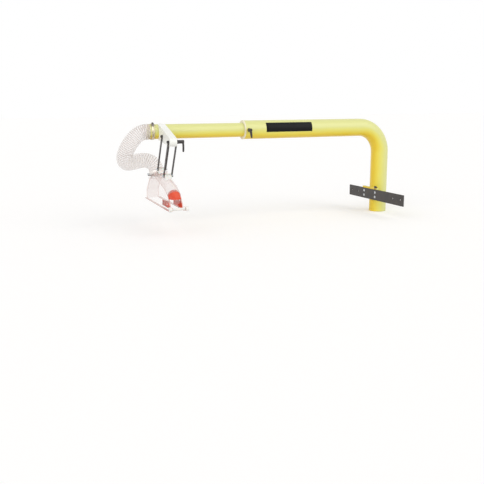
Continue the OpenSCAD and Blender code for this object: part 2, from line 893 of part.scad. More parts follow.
// A side direction for each ring, carried along without twist
ring_side = [
    for (i = 0, v = [0, 1, 0]; i < ring_count;
         i = i + 1, v = i < ring_count ? unit(v - (v * ring_way[i]) * ring_way[i]) : v)
        v
];
function ring_points(i, r) = [
    for (k = [0 : hose_sides - 1])
        let (a = 360 * k / hose_sides)
        ring_at[i] + r * (cos(a) * ring_side[i] + sin(a) * cross(ring_way[i], ring_side[i]))
];

// The bore runs from the boom's size to the outlet's
function hose_bore_r(i) = boom_r + hose_fit + (port_r - boom_r) * i / (ring_count - 1);

module hose() {
    points = concat(
        [for (i = [0 : ring_count - 1])
            each ring_points(i, hose_bore_r(i) + hose_skin + (i % 2 == 1 ? rib_h : 0))],
        [for (i = [0 : ring_count - 1]) each ring_points(i, hose_bore_r(i))]
    );
    inner = ring_count * hose_sides;
    last = (ring_count - 1) * hose_sides;
    function next(k) = (k + 1) % hose_sides;
    faces = concat(
        [for (i = [0 : ring_count - 2], k = [0 : hose_sides - 1])
            let (a = i * hose_sides + k, b = i * hose_sides + next(k))
            each [[a, a + hose_sides, b], [b, a + hose_sides, b + hose_sides]]],
        [for (i = [0 : ring_count - 2], k = [0 : hose_sides - 1])
            let (a = inner + i * hose_sides + k, b = inner + i * hose_sides + next(k))
            each [[a, b, a + hose_sides], [b, b + hose_sides, a + hose_sides]]],
        [for (k = [0 : hose_sides - 1])
            each [[k, next(k), inner + k], [next(k), inner + next(k), inner + k]]],
        [for (k = [0 : hose_sides - 1])
            each [[last + k, inner + last + k, last + next(k)],
                  [last + next(k), inner + last + k, inner + last + next(k)]]]
    );
    color("#f1e6e3", 0.6) polyhedron(points = points, faces = faces);
}

table_rail();
mounting_bracket();
bracket_screws();
bracket_nuts();
levelling_screws();
column_tube();
arm_bush();
lock_boss();
boom_lock_lever();
boom_lock_stud();
boom_tube();
boom_glide();
hanger_bracket();
rear_upper_pivot();
front_upper_pivot();
upper_pivot_nut();
guard_lock_lever();
rear_left_link();
rear_right_link();
front_left_link();
front_right_link();
rear_lower_pivot();
front_lower_pivot();
lower_pivot_nuts();
rear_lug();
front_lug();
guard_left_side();
guard_right_side();
guard_roof();
port_collar();
front_shield();
nose_axle();
nose_left_roller();
nose_right_roller();
nose_sleeve();
upper_cuff();
lower_cuff();
upper_clamp_band();
upper_clamp_screw();
lower_clamp_band();
lower_clamp_screw();
hose();
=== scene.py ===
"""Looks of an overarm dust collector: bent tube column, telescoping boom, clear hose and blade guard.

Lengths are metres in the CAD frame: X from the blade to the column, Y from front to back, Z up.
"""

import math

import bpy
import numpy as np
from mathutils import Matrix


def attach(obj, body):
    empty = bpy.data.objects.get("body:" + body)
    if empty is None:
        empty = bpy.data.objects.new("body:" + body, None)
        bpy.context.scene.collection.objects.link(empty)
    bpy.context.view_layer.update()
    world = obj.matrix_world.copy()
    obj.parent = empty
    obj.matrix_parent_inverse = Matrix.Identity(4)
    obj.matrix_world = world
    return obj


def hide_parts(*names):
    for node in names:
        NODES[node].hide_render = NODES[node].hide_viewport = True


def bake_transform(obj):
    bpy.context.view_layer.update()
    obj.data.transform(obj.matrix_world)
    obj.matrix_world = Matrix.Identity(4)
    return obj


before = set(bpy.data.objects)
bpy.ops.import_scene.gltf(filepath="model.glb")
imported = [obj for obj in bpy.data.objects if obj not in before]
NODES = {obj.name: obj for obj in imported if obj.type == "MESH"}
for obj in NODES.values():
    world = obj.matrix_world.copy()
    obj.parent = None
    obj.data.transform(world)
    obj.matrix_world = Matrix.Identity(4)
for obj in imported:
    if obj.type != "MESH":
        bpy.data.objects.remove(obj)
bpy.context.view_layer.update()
MM = 0.001
TAU = 2 * math.pi

# Places and sizes of the CAD model that the new pieces are fitted to
COLUMN_Y = 55 * MM
BOOM_Z = 403 * MM
TABLE_Z = 25 * MM
ARM_R, BOOM_R = 50.8 * MM, 38.1 * MM
ARM_MOUTH_X = -838 * MM
LOCK_X = ARM_MOUTH_X + 13 * MM
# Face of the lock boss, out from the arm's axis
LOCK_FACE = 58.3 * MM
LOCK_TILT = math.radians(8)
BOOM_END_X = -1363 * MM
GUARD_X = -1297 * MM
# Seats of the bolts and nuts outside the links, and outer faces of the panels, from the guard's middle
NUT_SEAT, PANEL_FACE = 23.5 * MM, 34 * MM
REAR_PIVOT = np.array([-42, 382]) * MM
FRONT_PIVOT = np.array([-163, 359]) * MM
REAR_FOOT = np.array([72.61, 204.84]) * MM
FRONT_FOOT = np.array([-48.39, 181.84]) * MM
PORT_AT = np.array([GUARD_X, 178.352 * MM, 157.147 * MM])
PORT_TILT = math.radians(21.0097)
PORT_WAY = np.array([0, math.sin(PORT_TILT), math.cos(PORT_TILT)])
PORT_BACK = np.array([0, math.cos(PORT_TILT), -math.sin(PORT_TILT)])
PORT_LEN = 30 * MM

# Corners of the guard's crest, back from the boom's axis and above the table
FOREHEAD, BROW, CHIN, LIP = np.array([[-170, 128], [-236, 95], [-284, 46], [-298, -2]]) * MM
DOME_R, VISOR_R = 34 * MM, 29.55 * MM
VISOR_LOW, ARM_LOW = 55 * MM, 8 * MM

# Faces that meet at more than this keep a sharp edge between them
SHARP_EDGE = math.radians(38)


# Meshes

def at_guard(across, back_up):
    """Points of the guard from distances across it and (back, up) pairs."""
    across, back_up = np.asarray(across), np.asarray(back_up)
    return np.stack([GUARD_X + across, COLUMN_Y + back_up[..., 0], TABLE_Z + back_up[..., 1]], -1)


def piece(name, shell, material, body=None, slot=None, stands_for=(), uv=None, smooth=True):
    """A mesh object at the origin from a shell, which is an (n, 3) array and its faces."""
    points, faces = shell
    mesh = bpy.data.meshes.new(name)
    mesh.from_pydata(np.asarray(points, float).tolist(), [], [list(map(int, f)) for f in faces])
    mesh.validate()
    mesh.polygons.foreach_set("use_smooth", np.full(len(mesh.polygons), smooth))
    if uv is not None:
        corner = np.empty(len(mesh.loops), np.int32)
        mesh.loops.foreach_get("vertex_index", corner)
        layer = mesh.uv_layers.new(name="along_round")
        layer.data.foreach_set("uv", np.asarray(uv, np.float32)[corner].ravel())
    elif smooth:
        mesh.set_sharp_from_angle(angle=SHARP_EDGE)
    mesh.materials.append(material)
    obj = bpy.data.objects.new(name, mesh)
    bpy.context.scene.collection.objects.link(obj)
    if body:
        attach(obj, body)
    if stands_for:
        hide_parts(*stands_for)
    return obj


def thickened(obj, thickness):
    """Gives a sheet its thickness, half to each side."""
    solid = obj.modifiers.new("thickness", "SOLIDIFY")
    solid.thickness, solid.offset = thickness, 0


def grid_faces(rows, columns, round_rows=False, round_columns=False):
    """Quads of a rows by columns grid whose points are numbered row by row, wrapped where it is closed."""
    i = np.arange(rows if round_rows else rows - 1)[:, None]
    j = np.arange(columns if round_columns else columns - 1)[None, :]
    i2, j2 = (i + 1) % rows, (j + 1) % columns
    quad = [i * columns + j, i * columns + j2, i2 * columns + j2, i2 * columns + j]
    return np.stack([np.broadcast_to(q, (i.size, j.size)) for q in quad], -1).reshape(-1, 4)


def joined(shells):
    """One point array and face list from several (points, faces) shells."""
    points, faces, first = [], [], 0
    for shell_points, shell_faces in shells:
        points.append(shell_points)
        faces += [[int(k) + first for k in f] for f in shell_faces]
        first += len(shell_points)
    return np.concatenate(points), faces


def unit(v):
    """v scaled to length 1 along its last axis."""
    v = np.asarray(v, float)
    return v / np.linalg.norm(v, axis=-1, keepdims=True)


def square_to(way):
    """Two unit vectors square to way and to each other."""
    way = unit(way)
    side = unit(np.cross(way, [0, 0, 1] if abs(way[2]) < 0.9 else [0, 1, 0]))
    return side, np.cross(way, side)


def turned(profile, at, way, count=48):
    """A shell of revolution: each (radius, height) of the profile goes round the line at + height * way.

    point(i, a) = at + height_i * way + radius_i * (cos a * side + sin a * up). Both ends are capped.
    """
    profile = np.asarray(profile, float)
    side, up = square_to(way)
    a = np.linspace(0, TAU, count, endpoint=False)[None, :, None]
    circle = np.cos(a) * side + np.sin(a) * up
    points = np.asarray(at) + profile[:, 1, None, None] * unit(way) + profile[:, 0, None, None] * circle
    points = points.reshape(-1, 3)
    faces = [list(f) for f in grid_faces(len(profile), count, round_columns=True)]
    caps = [list(range(count))[::-1], [(len(profile) - 1) * count + k for k in range(count)]]
    return points, faces + caps


def path_frames(path, first=None):
    """Two unit normals of a path, carried along it without twist.

    The first normal is square to the path and near first, where that is given.
    """
    way = unit(np.gradient(path, axis=0))
    side = np.empty_like(way)
    side[0] = square_to(way[0])[0] if first is None else unit(first - first @ way[0] * way[0])
    for i in range(1, len(path)):
        side[i] = unit(side[i - 1] - side[i - 1] @ way[i] * way[i])
    return side, np.cross(way, side)


def swept(path, wide, thick=None, count=10, first=None, power=1.0):
    """A bar along a path: point(i, a) = path_i + wide_i * c(cos a) * side_i + thick_i * c(sin a) * up_i.

    c(v) = sign(v) |v|^power, so power 1 is an oval and a smaller one a rounded rectangle.
    """
    path = np.asarray(path, float)
    side, up = path_frames(path, first)
    a = (np.arange(count) + 0.5) * TAU / count
    c, s = (np.sign(v) * np.abs(v) ** power for v in (np.cos(a), np.sin(a)))
    w, t = (np.broadcast_to(np.asarray(v, float), len(path))[:, None, None]
            for v in (wide, wide if thick is None else thick))
    points = path[:, None] + w * c[None, :, None] * side[:, None] + t * s[None, :, None] * up[:, None]
    faces = [list(f) for f in grid_faces(len(path), count, round_columns=True)]
    ends = [list(range(count))[::-1], [(len(path) - 1) * count + k for k in range(count)]]
    return points.reshape(-1, 3), faces + ends


# Materials

# Patches in which a coat's colour drifts, and the depth of its orange peel
COAT_PATCH, PEEL_DEPTH = 90 * MM, 0.05 * MM


def linear(code):
    """An sRGB hex colour as linear RGBA."""
    c = np.array([int(code[i:i + 2], 16) for i in (1, 3, 5)]) / 255
    c = np.where(c <= 0.04045, c / 12.92, ((c + 0.055) / 1.055) ** 2.4)
    return (*c.tolist(), 1.0)


def add(tree, kind, links=None, **settings):
    """Adds a shader node: settings are its attributes, or its inputs by name, links its inputs' sources."""
    made = tree.nodes.new("ShaderNode" + kind)
    for key, value in settings.items():
        if hasattr(made, key):
            setattr(made, key, value)
        else:
            made.inputs[key.replace("_", " ")].default_value = value
    for key, source in (links or {}).items():
        tree.links.new(source, made.inputs[key])
    return made


def finish_of(name, **sockets):
    """A material whose Principled shader has these sockets set; returns it, its tree and the shader."""
    material = bpy.data.materials.new(name)
    material.use_nodes = True
    tree = material.node_tree
    shader = tree.nodes["Principled BSDF"]
    for key, value in sockets.items():
        shader.inputs[key.replace("_", " ")].default_value = value
    return material, tree, shader


def set_stops(ramp, stops):
    """Colours of a ramp by place."""
    stops, elements = list(stops), ramp.color_ramp.elements
    while len(elements) < len(stops):
        elements.new(0.5)
    for element, (at, code) in zip(elements, stops):
        element.position, element.color = at, linear(code)


def mottled(tree, shader, low, high, size):
    """Base colour that drifts between two hex colours in patches of about this size."""
    place = add(tree, "TexCoord")
    noise = add(tree, "TexNoise", {"Vector": place.outputs["Object"]}, Scale=1 / size, Detail=3.0)
    ramp = add(tree, "ValToRGB", {"Fac": noise.outputs["Fac"]})
    set_stops(ramp, ((0.35, low), (0.65, high)))
    tree.links.new(ramp.outputs["Color"], shader.inputs["Base Color"])
    return place


def grained(tree, shader, place, size, depth, rough):
    """Bump of this grain size and depth, and smears 40 grains wide between the two roughnesses of rough."""
    noise = add(tree, "TexNoise", {"Vector": place.outputs["Object"]}, Scale=1 / size, Detail=2.0)
    bump = add(tree, "Bump", {"Height": noise.outputs["Fac"]}, Strength=1.0, Distance=depth)
    tree.links.new(bump.outputs["Normal"], shader.inputs["Normal"])
    wide = 40 * size
    smear = add(tree, "TexNoise", {"Vector": place.outputs["Object"]}, Scale=1 / wide, Detail=4.0)
    span = add(tree, "MapRange", {"Value": smear.outputs["Fac"]}, From_Min=0.3, From_Max=0.7,
               To_Min=rough[0], To_Max=rough[1])
    tree.links.new(span.outputs["Result"], shader.inputs["Roughness"])


def coated(name, low, high, peel, rough, gloss=0.5):
    """Powder coat: baked polymer powder, with the fine orange peel of melted grains under a soft gloss."""
    material, tree, shader = finish_of(name, IOR=1.5, Specular_IOR_Level=gloss)
    place = mottled(tree, shader, low, high, COAT_PATCH)
    grained(tree, shader, place, peel, PEEL_DEPTH, rough)
    return material


def painted_light_coat(name, stops, way, peel, rough):
    """Powder coat with painted light: pale, a painted highlight, on the faces turned to way, and golden,
    painted shade, elsewhere.

    share = (1 + normal . way) / 2 + a drift of 0.04, and stops are (share, colour).
    """
    material, tree, shader = finish_of(name, IOR=1.5, Coat_Weight=0.2, Coat_Roughness=0.15)
    place = add(tree, "TexCoord")
    shape = add(tree, "NewGeometry")
    look = add(tree, "VectorMath", {0: shape.outputs["Normal"]}, operation="DOT_PRODUCT")
    look.inputs[1].default_value = unit(way)
    share = add(tree, "MapRange", {"Value": look.outputs["Value"]}, From_Min=-1.0)
    noise = add(tree, "TexNoise", {"Vector": place.outputs["Object"]}, Scale=1 / COAT_PATCH, Detail=3.0)
    drift = add(tree, "MapRange", {"Value": noise.outputs["Fac"]}, To_Min=-0.04, To_Max=0.04)
    total = add(tree, "Math", {0: share.outputs["Result"], 1: drift.outputs["Result"]}, operation="ADD")
    ramp = add(tree, "ValToRGB", {"Fac": total.outputs["Value"]})
    set_stops(ramp, stops)
    tree.links.new(ramp.outputs["Color"], shader.inputs["Base Color"])
    grained(tree, shader, place, peel, PEEL_DEPTH, rough)
    return material


# Powder-coated tube with painted light: pale lemon on the faces turned to the key light, golden painted
# shade beneath, orange peel drawn at 3 mm so that it shows
YELLOW_LIT_AND_SHADE_STOPS = (0.34, "#ecca26"), (0.48, "#efd944"), (0.64, "#e6df6e"), (0.78, "#dcdc8e")
YELLOW_COAT = painted_light_coat("yellow_powder_coat", YELLOW_LIT_AND_SHADE_STOPS, (0.45, -0.45, 0.77), 3 * MM, (0.30, 0.42))
# Powder-coated sheet: clean white with the same peel
WHITE_COAT = coated("white_powder_coat", "#f1f1ea", "#f6f6f1", 3 * MM, (0.32, 0.45))
# Painted steel: near black, slightly warm, with a finer peel
BLACK_PAINT = coated("black_painted_steel", "#393534", "#443f3d", 2 * MM, (0.34, 0.5))
# Glass-filled nylon levers: black moulding with a fine spark-eroded grain
BLACK_NYLON = coated("black_moulded_nylon", "#312d2c", "#3c3735", 0.9 * MM, (0.42, 0.58))
# Bare plate: satin black aluminium with hardly any highlight
BLACK_PLATE = coated("black_satin_plate", "#0c0b0c", "#121112", 1.2 * MM, (0.4, 0.5), 0.15)
# Turned nylon bush: creamy, faintly waxy
CREAM_NYLON = coated("cream_nylon", "#efe6c8", "#f4edd6", 1.5 * MM, (0.38, 0.5))


def nylon():
    """Moulded white nylon: milky, light scatters a little way in, soft highlights."""
    material, tree, shader = finish_of(
        "white_moulded_nylon", IOR=1.53, Subsurface_Weight=0.15, Subsurface_Scale=2 * MM)
    place = mottled(tree, shader, "#e9e6e0", "#f1eee9", 30 * MM)
    grained(tree, shader, place, 1.2 * MM, 0.03 * MM, (0.35, 0.5))
    return material


def steel(name, low, high, rough, scratch):
    """Plated or rolled steel: metallic, with fine drawn scratches along X that spread the highlight.

    The scratches are noise of size scratch, stretched along X by 1 / 0.06.
    """
    material, tree, shader = finish_of(name, Metallic=1.0)
    place = mottled(tree, shader, low, high, 25 * MM)
    drawn = add(tree, "Mapping", {"Vector": place.outputs["Object"]}, Scale=(0.06, 1, 1))
    noise = add(tree, "TexNoise", {"Vector": drawn.outputs["Vector"]}, Scale=1 / scratch, Detail=4.0)
    bump = add(tree, "Bump", {"Height": noise.outputs["Fac"]}, Strength=0.5, Distance=0.02 * MM)
    tree.links.new(bump.outputs["Normal"], shader.inputs["Normal"])
    span = add(tree, "MapRange", {"Value": noise.outputs["Fac"]}, To_Min=rough[0], To_Max=rough[1])
    tree.links.new(span.outputs["Result"], shader.inputs["Roughness"])
    return material


# Rollers and lugs: milky white, soft at the edges
WHITE_NYLON = nylon()
# Bolts and screws: cool grey zinc with a broad highlight
ZINC_STEEL = steel("zinc_plated_steel", "#b9bcc0", "#cfd2d4", (0.24, 0.4), 0.8 * MM)
# Clamp cases: dark steel, which marks where each clamp closes
CASE_STEEL = steel("blackened_case", "#5c534b", "#776d64", (0.28, 0.42), 0.8 * MM)
# Clamp bands, one steel in two copies with painted light: faintly golden on the boom, a painted reflection
# of the yellow tube, and lightened to nearly white on the guard's outlet
BOOM_BAND_PAINTED_REFLECTION = steel("boom_band_painted_reflection", "#d6cab0", "#ece3cc", (0.22, 0.36), 0.6 * MM)
OUTLET_BAND_PAINTED_LIGHT = steel("stainless_band", "#f0e9e2", "#fbf7f2", (0.26, 0.4), 0.6 * MM)


def clear_sheet(name, low, high, face_alpha, rim_alpha, edge_alpha=None, gloss=0.5):
    """Clear sheet: nearly invisible face on, denser at a glancing angle, where light goes further in it.

    face_alpha and rim_alpha are its densities there, and gloss is the strength of its highlight.
    edge_alpha is for flat panels square to X: it is the density of their cut edges, which face away from X.
    """
    material, tree, shader = finish_of(name, IOR=1.58, Specular_IOR_Level=gloss)
    place = mottled(tree, shader, low, high, 60 * MM)
    grained(tree, shader, place, 14 * MM, 0.05 * MM, (0.04, 0.12))
    glance = add(tree, "LayerWeight", Blend=0.35)
    total = add(tree, "MapRange", {"Value": glance.outputs["Facing"]}, From_Min=0.3,
                To_Min=face_alpha, To_Max=rim_alpha)
    density = total.outputs["Result"]
    if edge_alpha:
        shape = add(tree, "NewGeometry")
        split = add(tree, "SeparateXYZ", {"Vector": shape.outputs["Normal"]})
        size = add(tree, "Math", {0: split.outputs["X"]}, operation="ABSOLUTE")
        edge = add(tree, "MapRange", {"Value": size.outputs["Value"]}, From_Min=0.35, From_Max=0.65,
                   To_Min=edge_alpha, To_Max=0.0)
        most = add(tree, "Math", {0: density, 1: edge.outputs["Result"]}, operation="MAXIMUM")
        density = most.outputs["Value"]
    tree.links.new(density, shader.inputs["Alpha"])
    return material


# Polycarbonate sheet: clear with a faint warm cast, and dense pinkish cut edges
CLEAR_SIDE = clear_sheet("clear_polycarbonate_side", "#ecd2cb", "#f3ddd7", 0.06, 0.09, 0.85)
CLEAR_ROOF = clear_sheet("clear_polycarbonate_roof", "#e6d1cb", "#eedcd7", 0.17, 0.62)
# The collar's copy is whiter than the other sheets: painted light that lifts the grey of its shaded layers
CLEAR_COLLAR_PAINTED_LIGHT = clear_sheet("clear_polycarbonate_collar_painted_light", "#f6ebe8", "#fbf3f1", 0.1, 0.24)
# Tinted polycarbonate: translucent red, denser where it is seen edge on, and pale pink along its cut edges,
# a painted highlight
RED_SHEET = clear_sheet("red_polycarbonate", "#e5563e", "#ee654b", 0.88, 0.97, gloss=0.02)
RED_EDGE_HIGHLIGHT = clear_sheet("red_polycarbonate_edge_highlight", "#f3c3b8", "#f8d5cc", 0.95, 0.98)

# Share of the rib's height that is the groove between two ribs
GROOVE = 0.18


def hose_skin():
    """Clear vinyl hose: milky skin, a pale rounded rib and a brownish line down each groove between ribs.

    The piece's UV map holds metres along the hose and turns round it, so the lines follow the spiral:
    height = (1 + cos(2 pi (along / pitch - turn))) / 2. Under GROOVE it is the groove.
    The skin is clearest where it is stretched over the boom, whose colour shows through, and densest just
    past the boom's end, so that the dark mouth of the tube hardly shows.
    """
    material, tree, shader = finish_of("clear_ribbed_vinyl", IOR=1.52)
    place = add(tree, "TexCoord")
    grained(tree, shader, place, 6 * MM, 0.06 * MM, (0.22, 0.36))
    uv = add(tree, "UVMap", uv_map="along_round")
    split = add(tree, "SeparateXYZ", {"Vector": uv.outputs["UV"]})
    turns = add(tree, "Math", {0: split.outputs["X"]}, operation="DIVIDE")
    turns.inputs[1].default_value = RIB_PITCH
    phase = add(tree, "Math", {0: turns.outputs["Value"], 1: split.outputs["Y"]}, operation="SUBTRACT")
    wave = add(tree, "Math", {0: phase.outputs["Value"]}, operation="MULTIPLY")
    wave.inputs[1].default_value = TAU
    swing = add(tree, "Math", {0: wave.outputs["Value"]}, operation="COSINE")
    height = add(tree, "MapRange", {"Value": swing.outputs["Value"]}, From_Min=-1.0)
    ramp = add(tree, "ValToRGB", {"Fac": height.outputs["Result"]})
    set_stops(ramp, ((0.0, "#a2897f"), (0.07, "#c0aea4"), (GROOVE, "#fff6f1"), (1.0, "#fffcf9")))
    tree.links.new(ramp.outputs["Color"], shader.inputs["Base Color"])
    cover = add(tree, "MapRange", {"Value": height.outputs["Result"]}, From_Max=GROOVE,
                To_Min=0.74, To_Max=0.24)
    cuff = add(tree, "MapRange", {"Value": split.outputs["X"]}, From_Min=UPPER_CUFF - 4 * MM,
               From_Max=UPPER_CUFF, To_Min=0.19, To_Max=1.0)
    gather = add(tree, "MapRange", {"Value": split.outputs["X"]}, From_Min=UPPER_CUFF + 10 * MM,
                 From_Max=UPPER_CUFF + 36 * MM, To_Min=2.1, To_Max=1.0)
    share = add(tree, "Math", {0: cuff.outputs["Result"], 1: gather.outputs["Result"]},
                operation="MULTIPLY")
    dense = add(tree, "Math", {0: cover.outputs["Result"], 1: share.outputs["Value"]},
                operation="MULTIPLY", use_clamp=True)
    tree.links.new(dense.outputs["Value"], shader.inputs["Alpha"])
    return material


# Hose

# Pitch of the spiral rib, the skin's radius between ribs, and the rib's height
RIB_PITCH = 8.4 * MM
HOSE_R, RIB_H = 39.4 * MM, 1.9 * MM
# Inner radius and wall of the plain cuffs, their lengths, and half of a clamp's width
CUFF_R, CUFF_T = BOOM_R + 0.15 * MM, 2.2 * MM
UPPER_CUFF, LOWER_CUFF, CLAMP_HALF = 34 * MM, 25 * MM, 6.5 * MM
# Gap between the hose and the tubes' ends, and the straight runs there
END_GAP, START_RUN, FINISH_RUN = 0.3 * MM, 10 * MM, 8 * MM
# Cells round the hose and along each turn of its rib
HOSE_AROUND, RIB_CELLS = 56, 9
# Steps in each cubic piece of the middle line
HERMITE_STEPS = 40
HOSE_ROUTE = np.array([
    [-1406, 56, 396], [-1433, 59, 376], [-1454, 65, 351], [-1471, 75, 323], [-1481, 90, 295],
    [-1483, 112, 269], [-1475, 138, 249], [-1458, 165, 238], [-1432, 186, 237], [-1403, 199, 241],
    [-1370, 208, 245], [-1336, 211, 241], [-1309, 205, 224],
]) * MM
HOSE_SEAM = HOSE_ROUTE[6]


def hose_line(spacing):
    """Points of the hose's centreline at this spacing, and their distances along it.

    Cubic Hermite pieces from a to b with end tangents s and e run through the route, with straight ends:
    a (2u^3 - 3u^2 + 1) + s (u^3 - 2u^2 + u) + b (3u^2 - 2u^3) + e (u^3 - u^2).
    """
    start = np.array([BOOM_END_X - END_GAP, COLUMN_Y, BOOM_Z])
    finish = PORT_AT + (PORT_LEN + END_GAP) * PORT_WAY
    p = np.vstack([start, start - [START_RUN, 0, 0], HOSE_ROUTE, finish + FINISH_RUN * PORT_WAY, finish])
    t = np.empty_like(p)
    t[1:-1] = (p[2:] - p[:-2]) / 2
    t[0], t[-1] = p[1] - p[0], p[-1] - p[-2]
    t[1] = unit(t[0]) * np.linalg.norm(p[2] - p[0]) / 2
    t[-2] = unit(t[-1]) * np.linalg.norm(p[-1] - p[-3]) / 2
    u = np.linspace(0, 1, HERMITE_STEPS, endpoint=False)[None, :, None]
    a, b, s, e = p[:-1, None], p[1:, None], t[:-1, None], t[1:, None]
    line = (a * (2 * u**3 - 3 * u**2 + 1) + s * (u**3 - 2 * u**2 + u)
            + b * (3 * u**2 - 2 * u**3) + e * (u**3 - u**2))
    line = np.vstack([line.reshape(-1, 3), finish])
    upper = start + [UPPER_CUFF, 0, 0]
    lower = finish - LOWER_CUFF * PORT_WAY
    line = np.vstack([upper, line, lower])
    travel = np.concatenate([[0], np.cumsum(np.linalg.norm(np.diff(line, axis=0), axis=1))])
    at = np.linspace(0, travel[-1], int(travel[-1] / spacing) + 1)
    return np.stack([np.interp(at, travel, line[:, k]) for k in range(3)], 1), at


def hose_radius(along, turn, length):
    """Radius over the hose: a spiral rib, pressed flat where each clamp goes round a cuff.

    rib = RIB_H * max(0, cos(2 pi (along / pitch - turn)))^1.5, faded to the cuff's radius over 4 mm.
    """
    rib = np.clip(np.cos(TAU * (along / RIB_PITCH - turn)), 0, 1) ** 1.5
    ribbed = HOSE_R + RIB_H * rib
    cuff = CUFF_R + CUFF_T
    clear = np.minimum(abs(along - UPPER_CUFF / 2), abs(length - LOWER_CUFF / 2 - along)) - CLAMP_HALF
    fade = np.clip(clear / (4 * MM), 0, 1)
    return cuff + (ribbed - cuff) * fade * fade * (3 - 2 * fade)


def make_hose():
    """The hose as two tubes that meet at a seam half way.

    point(s, a) = path(s) + hose_radius (cos a side + sin a up), with a = 2 pi turn.
    """
    around, step = HOSE_AROUND, RIB_PITCH / RIB_CELLS
    path, along = hose_line(step)
    side, up = path_frames(path)
    turn = np.arange(around)[None, :] / around
    r = hose_radius(along[:, None], turn, along[-1])[..., None]
    a = TAU * turn[..., None]
    points = path[:, None] + r * (np.cos(a) * side[:, None] + np.sin(a) * up[:, None])
    uv = np.stack(np.broadcast_arrays(along[:, None], turn), -1)
    seam = int(np.argmin(np.linalg.norm(path - HOSE_SEAM, axis=1)))
    skin = hose_skin()
    # The seam column of the UV map is doubled, so that the last strip round doesn't run backwards
    points = np.concatenate([points, points[:, :1]], 1)
    uv = np.concatenate([uv, uv[:, :1] + [0, 1]], 1)
    halves = []
    for name, rows in (("hose_upper_half", slice(0, seam + 1)), ("hose_lower_half", slice(seam, None))):
        part = points[rows]
        faces = grid_faces(part.shape[0], around + 1)[:, ::-1]
        halves.append(piece(name, (part.reshape(-1, 3), faces), skin, slot="clear_hose_vinyl",
                            uv=uv[rows].reshape(-1, 2)))
    upper, lower = halves
    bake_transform(upper)
    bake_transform(lower)
    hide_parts("hose", "upper_cuff")
    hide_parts("lower_cuff")


make_hose()


# Levers, bolts, clamps and small parts

def lever(name, node, body, at, out, hang, high, reach):
    """A clamping lever: a hub of height high about the line at + s out, and an arm along hang from its top.

    Arm: centre(t) = at + (high - 4.5 mm + 1.2 mm sin(pi t)) out + reach t hang. Its half width is
    7.5 - 3 t mm and its half thickness 4.4 mm, both times sqrt(1 - max(0, (t - 0.9) / 0.1)^2), which
    rounds its end.
    """
    foot = np.array([[0, 0], [9.2, 0], [10, 0.8], [10, 4.2], [9.4, 5], [8.7, 7]]) * MM
    crown = np.array([[8.7, -8], [9, -6], [9, -1.2], [7.8, 0], [5.8, 0], [5.5, -1.8], [4.6, -1.8],
                      [4.4, -0.6], [0, -0.4]]) * MM
    hub = np.concatenate([foot, crown + [0, high]])
    t = np.sin(np.linspace(0, 1, 32) * math.pi / 2)
    tip = np.sqrt(np.clip(1 - np.clip((t - 0.9) / 0.1, 0, 1) ** 2, 1e-4, 1))
    rise = high + (1.2 * np.sin(math.pi * t) - 4.5) * MM
    path = at + rise[:, None] * out + reach * t[:, None] * hang
    arm = swept(path, (7.5 - 3 * t) * tip * MM, 4.4 * tip * MM, 24, np.cross(out, hang), 0.7)
    piece(name, joined([turned(hub, at, out), arm]), BLACK_NYLON, body, "black_lever_plastic", [node])


def bolt(at, end):
    """A button-headed bolt along +X from the left link, which ends this many millimetres past the middle."""
    profile = [[0, -26.8], [2.4, -26.8], [2.4, -28.8], [3.4, -29], [5.4, -28.3], [6.6, -26.8], [7, -25.2],
               [7, -23.5], [4, -23.5], [4, end - 0.7], [3.3, end], [0, end]]
    return turned(np.array(profile) * MM, at, [1, 0, 0])


def lock_nut(at):
    """A six-sided nut outside the right link with a round collar on its outer end."""
    six = np.array([[4.05, 23.5], [7.1, 23.5], [7.5, 24], [7.5, 27], [6.9, 27.7], [4.05, 27.7]]) * MM
    collar = np.array([[4.05, 27.4], [5.9, 27.4], [5.9, 28.6], [5.2, 29], [4.05, 29]]) * MM
    return joined([turned(six, at, [1, 0, 0], 6), turned(collar, at, [1, 0, 0])])


def pivot(yz):
    """The middle of the pivot whose axis runs across the guard at this (y, z)."""
    return np.array([GUARD_X, *yz])


def make_pivots():
    """The four pivot bolts and their three nuts; the fourth end carries the guard's lever."""
    black, zinc = (BLACK_PAINT, "boom", "black_painted_steel"), (ZINC_STEEL, "guard", "zinc_steel")
    piece("rear_upper_bolt", bolt(pivot(REAR_PIVOT), 31), *black, ["rear_upper_pivot"])
    piece("front_upper_bolt", bolt(pivot(FRONT_PIVOT), 47.5), *black, ["front_upper_pivot"])
    piece("upper_nut", lock_nut(pivot(REAR_PIVOT)), *black, ["upper_pivot_nut"])
    piece("rear_lower_bolt", bolt(pivot(REAR_FOOT), 31), *zinc, ["rear_lower_pivot"])
    piece("front_lower_bolt", bolt(pivot(FRONT_FOOT), 31), *zinc, ["front_lower_pivot"])
    nuts = joined([lock_nut(pivot(REAR_FOOT)), lock_nut(pivot(FRONT_FOOT))])
    piece("lower_nuts", nuts, *zinc, ["lower_pivot_nuts"])


# Radius of a clamp's band, cells round it, the run that slants it by a radian, and where its worm sits
BAND_R, BAND_CELLS, BAND_SLANT, WORM_R = 41.1 * MM, 180, 70 * MM, 46.6 * MM
# Cells of the band that are slotted, and the first of them on each clamp
SLOT_CELLS, UPPER_SLOTS, LOWER_SLOTS = 76, 95, 8


